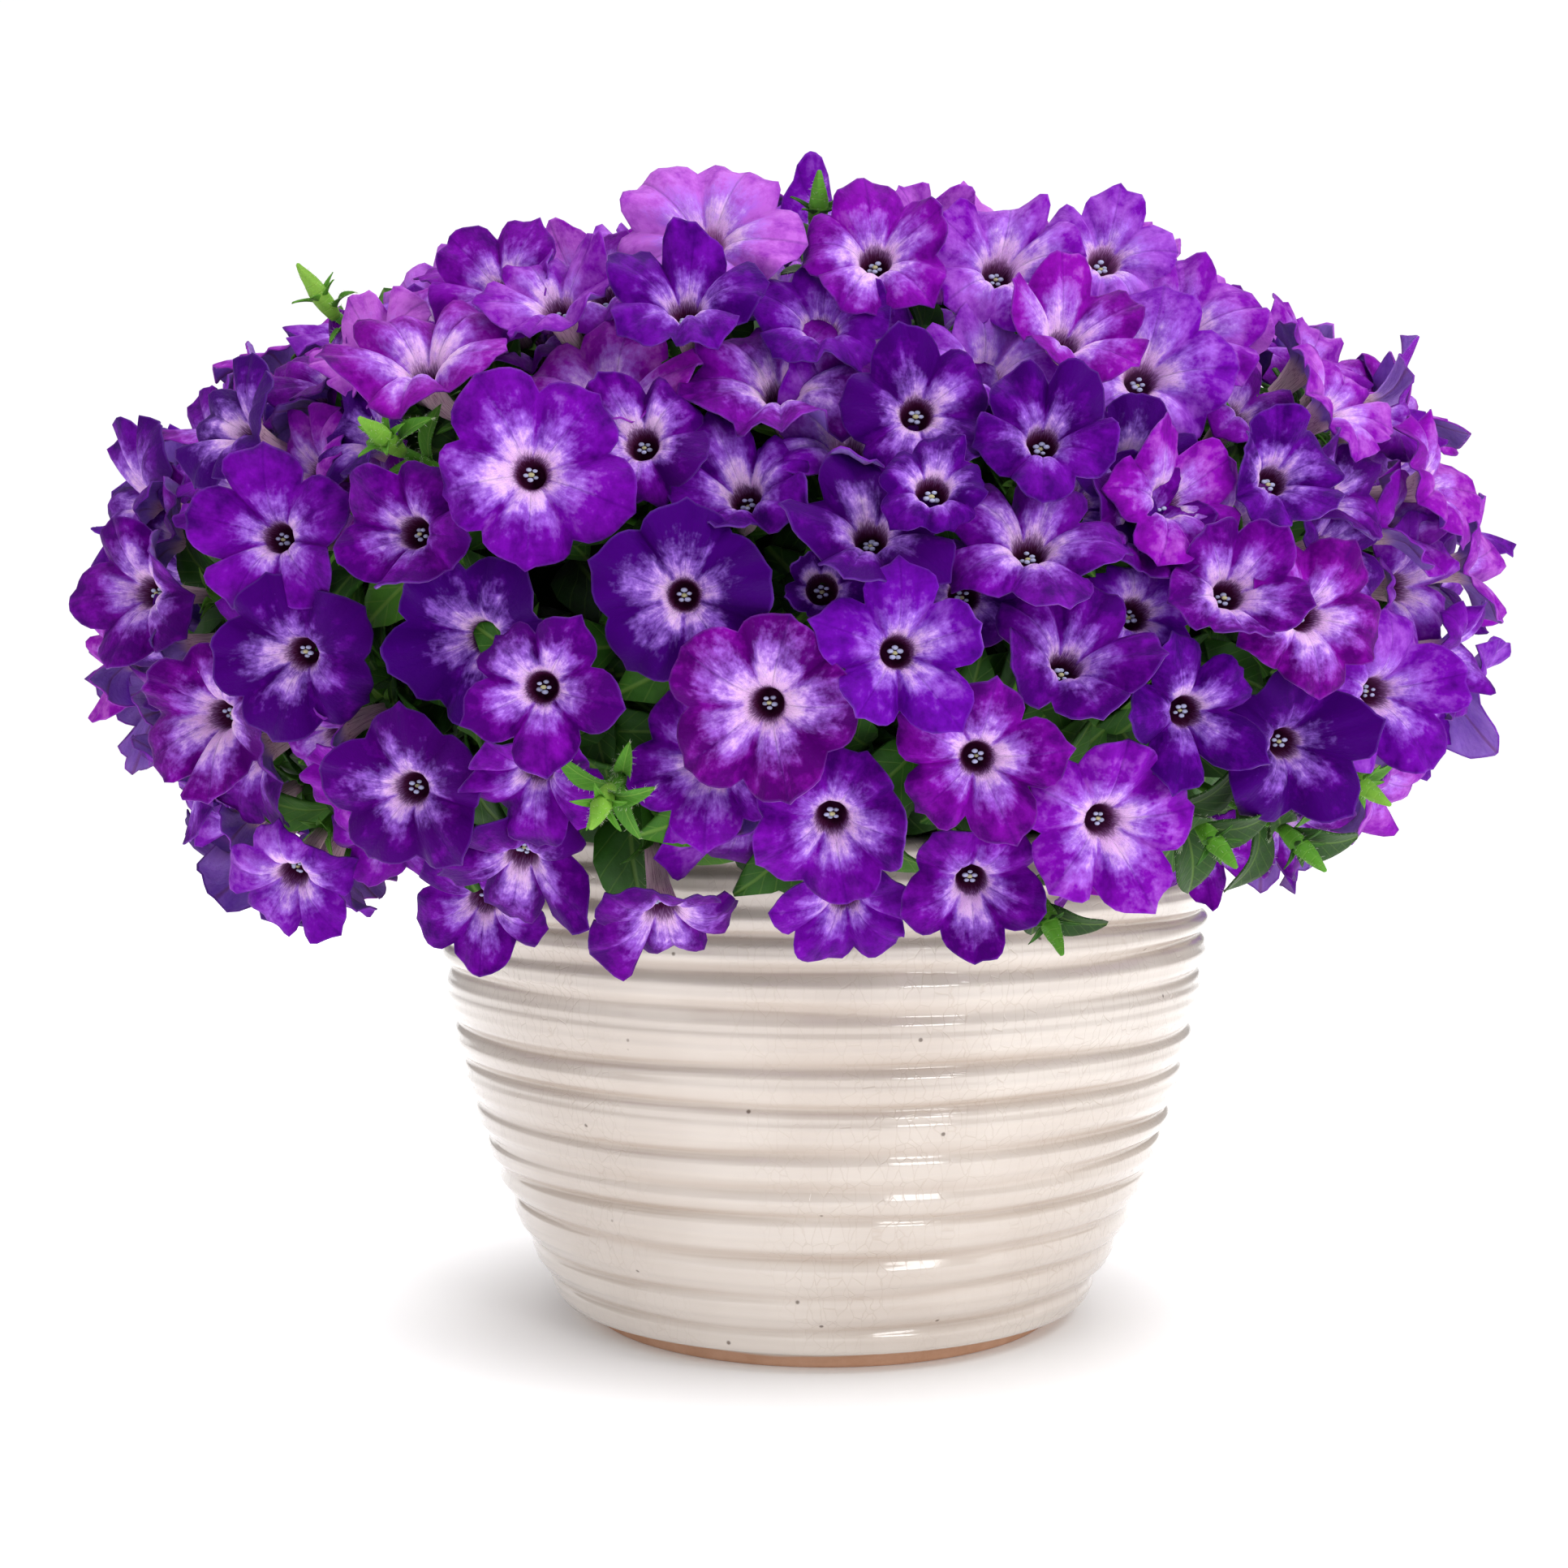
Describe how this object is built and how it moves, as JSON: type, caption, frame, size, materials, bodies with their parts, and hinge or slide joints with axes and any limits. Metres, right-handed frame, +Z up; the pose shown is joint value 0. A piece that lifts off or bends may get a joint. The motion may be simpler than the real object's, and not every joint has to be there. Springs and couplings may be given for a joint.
{
  "type": "potted petunia plant",
  "caption": "Mound of violet, white-starred petunias spilling over a ribbed, cream glazed ceramic pot with a bare foot.",
  "frame": {"origin": "centre of the pot's flat base, on the surface it stands on", "axes": "+Z up along the pot's axis, +X to the right and -Y towards a viewer of the front"},
  "size_m": [0.508, 0.5058, 0.4225],
  "materials": {
    "glaze": "cream gloss glaze with fine crackle over hand-thrown ribs, bare terracotta foot",
    "soil": "matte, crumbly potting soil",
    "petals": "velvety violet petals with pale pink-white stars and dark throats",
    "leaves": "soft, finely haired green leaves and buds",
    "foliage": "packed green stems and leaves inside the mound"
  },
  "bodies": {
    "root": {"pot": "glaze", "soil": "soil", "crown": "foliage", "bloom_spray_01": "petals", "bloom_spray_02": "petals", "bloom_spray_03": "petals", "bloom_spray_04": "petals", "bloom_spray_05": "petals", "bloom_spray_06": "petals", "bloom_spray_07": "petals", "bloom_spray_08": "petals", "bloom_spray_09": "petals", "bloom_spray_10": "petals", "bloom_spray_11": "petals", "bloom_spray_12": "petals", "bloom_spray_13": "petals", "bloom_spray_14": "petals", "bloom_spray_15": "petals", "bloom_spray_16": "petals", "bloom_spray_17": "petals", "bloom_spray_18": "petals", "bloom_spray_19": "petals", "bloom_spray_20": "petals", "bloom_spray_21": "petals", "bloom_spray_22": "petals", "bloom_spray_23": "petals", "bloom_spray_24": "petals", "bloom_spray_25": "petals", "bloom_spray_26": "petals", "bloom_spray_27": "petals", "bloom_spray_28": "petals", "bloom_spray_29": "petals", "bloom_spray_30": "petals", "bloom_spray_31": "petals", "bloom_spray_32": "petals", "bloom_spray_33": "petals", "bloom_spray_34": "petals", "bloom_spray_35": "petals", "bloom_spray_36": "petals", "bloom_spray_37": "petals", "bloom_spray_38": "petals", "bloom_spray_39": "petals", "bloom_spray_40": "petals", "bloom_spray_41": "petals", "bloom_spray_42": "petals", "bloom_spray_43": "petals", "bloom_spray_44": "petals", "bloom_spray_45": "petals", "bloom_spray_46": "petals", "leafy_shoot_1": "leaves", "leafy_shoot_2": "leaves", "leafy_shoot_3": "leaves", "leafy_shoot_4": "leaves", "leafy_shoot_5": "leaves", "leafy_shoot_6": "leaves", "leafy_shoot_7": "leaves", "leafy_shoot_8": "leaves", "leafy_shoot_9": "leaves", "leafy_shoot_10": "leaves", "leafy_shoot_11": "leaves"}
  },
  "joints": []
}
